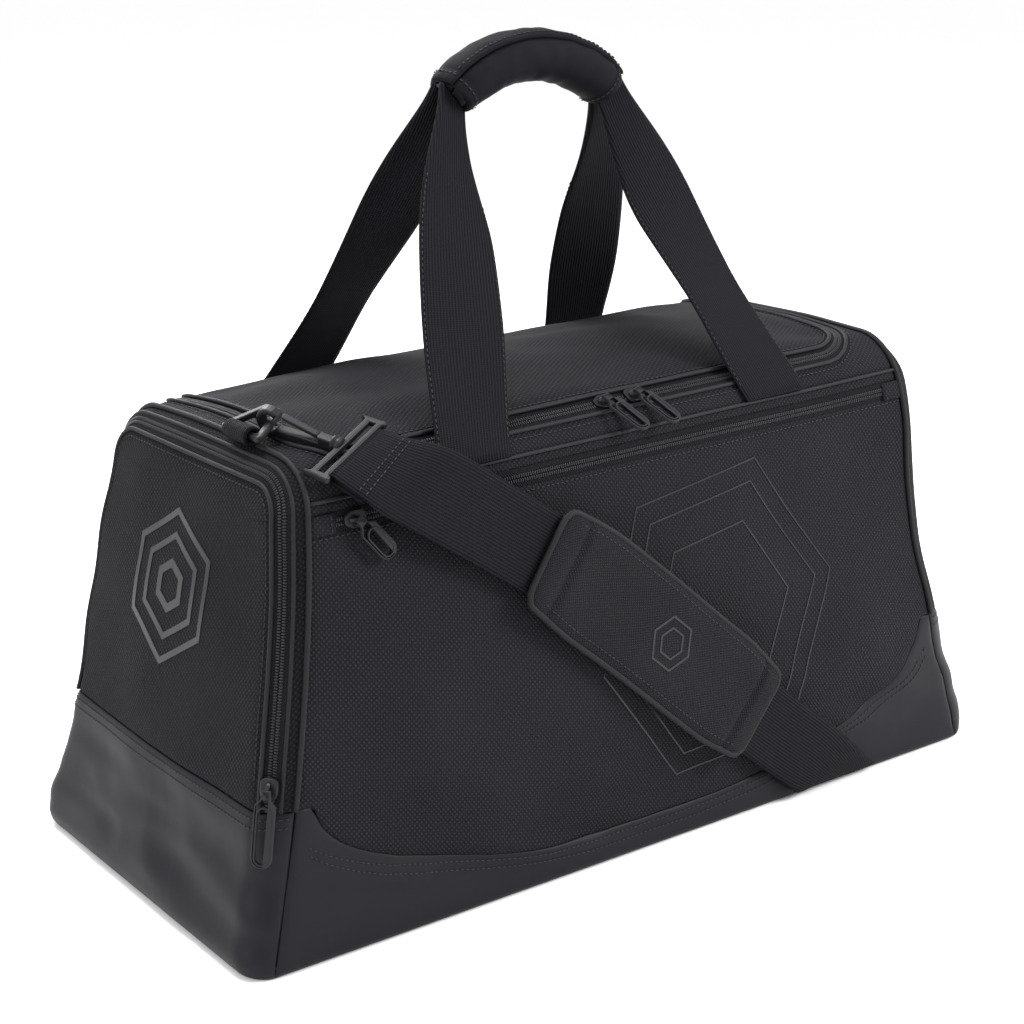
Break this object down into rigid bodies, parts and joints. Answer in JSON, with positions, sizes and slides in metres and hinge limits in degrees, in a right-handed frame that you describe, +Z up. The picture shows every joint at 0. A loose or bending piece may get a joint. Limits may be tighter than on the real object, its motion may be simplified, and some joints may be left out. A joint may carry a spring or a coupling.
{
  "type": "sports holdall",
  "caption": "Soft boxy sports holdall with coated foot band, U-shaped zip lid, two carry handles joined by a wrapped grip, zip pockets and a clip-on padded shoulder strap.",
  "frame": {"origin": "on the floor under the middle of the bag, shoulder strap left out", "axes": "+X along the bag's length towards its right end, front pocket facing -Y, +Z up"},
  "size_m": [0.5902, 0.2843, 0.4845],
  "materials": {
    "woven_polyester": "plain heavy woven polyester, matte",
    "coated_polyester": "smooth coated polyester with a soft sheen",
    "webbing": "flat ribbed webbing",
    "lining": "thin lining cloth",
    "neoprene": "smooth foam-backed knit",
    "mesh": "stretch mesh",
    "zip_coil": "coil zip on woven tape",
    "moulded_plastic": "moulded acetal, fine matte",
    "zip_metal": "black painted zinc",
    "rubber": "moulded rubber, matte",
    "board": "polyethylene sheet"
  },
  "bodies": {
    "bag": {"pocket_zip_welt": "woven_polyester", "pocket_zip_end_tab_left": "woven_polyester", "pocket_zip_end_tab_right": "woven_polyester", "front_pocket_panel": "woven_polyester", "rear_panel": "woven_polyester", "top_surround": "woven_polyester", "right_end_panel": "woven_polyester", "left_end_edge": "woven_polyester", "shoulder_pad": "woven_polyester", "base_panel": "coated_polyester", "coated_band_front": "coated_polyester", "coated_band_rear": "coated_polyester", "coated_band_left": "coated_polyester", "coated_band_right": "coated_polyester", "left_end_piping": "coated_polyester", "right_end_piping": "coated_polyester", "shoulder_strap": "webbing", "left_ring_tab": "webbing", "right_ring_tab": "webbing", "front_pocket_lining": "lining", "end_pocket_lining": "lining", "mesh_pocket": "mesh", "base_board": "board", "pocket_zip_chain": "zip_coil", "main_zip_chain": "zip_coil", "end_zip_chain": "zip_coil", "left_strap_bar": "moulded_plastic", "right_strap_bar": "moulded_plastic", "strap_adjuster": "moulded_plastic"},
    "lid": {"lid": "woven_polyester"},
    "rear_handle": {"rear_handle_leg_left": "webbing", "rear_handle_leg_right": "webbing", "rear_handle_core": "webbing", "grip_wrap_flap": "neoprene"},
    "front_handle": {"front_handle_leg_left": "webbing", "front_handle_leg_right": "webbing", "front_handle_core": "webbing", "grip_wrap_lower": "neoprene"},
    "end_flap": {"end_flap": "woven_polyester"},
    "main_zip_left_slider": {"main_zip_left_slider": "zip_metal"},
    "main_zip_left_pull": {"main_zip_left_pull": "rubber"},
    "main_zip_right_slider": {"main_zip_right_slider": "zip_metal"},
    "main_zip_right_pull": {"main_zip_right_pull": "rubber"},
    "pocket_zip_slider": {"pocket_zip_slider": "zip_metal"},
    "pocket_zip_pull": {"pocket_zip_pull": "rubber"},
    "end_zip_slider": {"end_zip_slider": "zip_metal"},
    "end_zip_pull": {"end_zip_pull": "rubber"},
    "left_ring": {"left_ring": "moulded_plastic"},
    "left_hook": {"left_hook": "moulded_plastic"},
    "left_hook_gate": {"left_hook_gate": "moulded_plastic"},
    "right_ring": {"right_ring": "moulded_plastic"},
    "right_hook": {"right_hook": "moulded_plastic"},
    "right_hook_gate": {"right_hook_gate": "moulded_plastic"}
  },
  "joints": [
    {"name": "lid_hinge", "type": "hinge", "parent": "bag", "child": "lid", "pos_m": [0, 0.08015, 0.28082], "axis": [-0.9996, 0, -0.0287], "range_deg": [0, 90]},
    {"name": "rear_handle_swing", "type": "hinge", "parent": "bag", "child": "rear_handle", "pos_m": [0, 0.10381, 0.26035], "axis": [-0.9996, 0, -0.0269], "range_deg": [0, 135]},
    {"name": "front_handle_swing", "type": "hinge", "parent": "bag", "child": "front_handle", "pos_m": [0, -0.10381, 0.26035], "axis": [0.9996, 0, 0.0269], "range_deg": [0, 63]},
    {"name": "end_flap_hinge", "type": "hinge", "parent": "bag", "child": "end_flap", "pos_m": [-0.26469, 0, 0.0901], "axis": [0, -1, 0], "range_deg": [0, 120]},
    {"name": "main_zip_left_slide", "type": "slide", "parent": "bag", "child": "main_zip_left_slider", "axis": [-0.9996, 0, -0.0283], "range_m": [0, 0.06]},
    {"name": "main_zip_right_slide", "type": "slide", "parent": "bag", "child": "main_zip_right_slider", "axis": [0.9996, 0, 0.0283], "range_m": [0, 0.055]},
    {"name": "pocket_zip_slide", "type": "slide", "parent": "bag", "child": "pocket_zip_slider", "axis": [0.9997, -0.0031, 0.0254], "range_m": [0, 0.38]},
    {"name": "end_zip_slide", "type": "slide", "parent": "bag", "child": "end_zip_slider", "axis": [0.172, 0.1274, 0.9768], "range_m": [0, 0.123]},
    {"name": "main_zip_left_pull_hinge", "type": "hinge", "parent": "main_zip_left_slider", "child": "main_zip_left_pull", "pos_m": [-0.01216, -0.09174, 0.27926], "axis": [-0.9359, -0.2814, -0.212], "range_deg": [0, 150]},
    {"name": "main_zip_right_pull_hinge", "type": "hinge", "parent": "main_zip_right_slider", "child": "main_zip_right_pull", "pos_m": [0.01184, -0.09174, 0.27994], "axis": [-0.9359, -0.2814, -0.212], "range_deg": [0, 150]},
    {"name": "pocket_zip_pull_hinge", "type": "hinge", "parent": "pocket_zip_slider", "child": "pocket_zip_pull", "pos_m": [-0.19696, -0.11055, 0.24187], "axis": [-0.7806, -0.0759, -0.6204], "range_deg": [0, 150]},
    {"name": "end_zip_pull_hinge", "type": "hinge", "parent": "end_zip_slider", "child": "end_zip_pull", "pos_m": [-0.26875, -0.11304, 0.10501], "axis": [0.0268, 0.9906, -0.1339], "range_deg": [0, 150]},
    {"name": "left_ring_tilt", "type": "hinge", "parent": "bag", "child": "left_ring", "pos_m": [-0.226, -0.038, 0.2796], "axis": [0, 1, 0], "range_deg": [-4, 4]},
    {"name": "left_hook_swivel", "type": "hinge", "parent": "bag", "child": "left_hook", "pos_m": [-0.21243, -0.0474, 0.28599], "axis": [0.4457, -0.869, -0.2149], "range_deg": [-8, 4]},
    {"name": "left_hook_gate_hinge", "type": "hinge", "parent": "left_hook", "child": "left_hook_gate", "pos_m": [-0.19946, -0.07418, 0.28159], "axis": [-0.8767, -0.3751, -0.3011], "range_deg": [0, 14], "stiffness_Nm_per_rad": 0.02},
    {"name": "right_ring_tilt", "type": "hinge", "parent": "bag", "child": "right_ring", "pos_m": [0.2455, -0.025, 0.259], "axis": [0, -1, 0], "range_deg": [-4, 4]},
    {"name": "right_hook_swivel", "type": "hinge", "parent": "bag", "child": "right_hook", "pos_m": [0.25276, -0.025, 0.23823], "axis": [0.2466, -0.012, -0.969], "range_deg": [-8, 8]},
    {"name": "right_hook_gate_hinge", "type": "hinge", "parent": "right_hook", "child": "right_hook_gate", "pos_m": [0.25803, -0.02536, 0.20862], "axis": [0.003, 0.9999, -0.0117], "range_deg": [0, 14], "stiffness_Nm_per_rad": 0.02}
  ],
  "couplings": [
    {"joint": "rear_handle_swing", "follows": "lid_hinge", "ratio": 1.5},
    {"joint": "front_handle_swing", "follows": "lid_hinge", "ratio": 0.7}
  ]
}
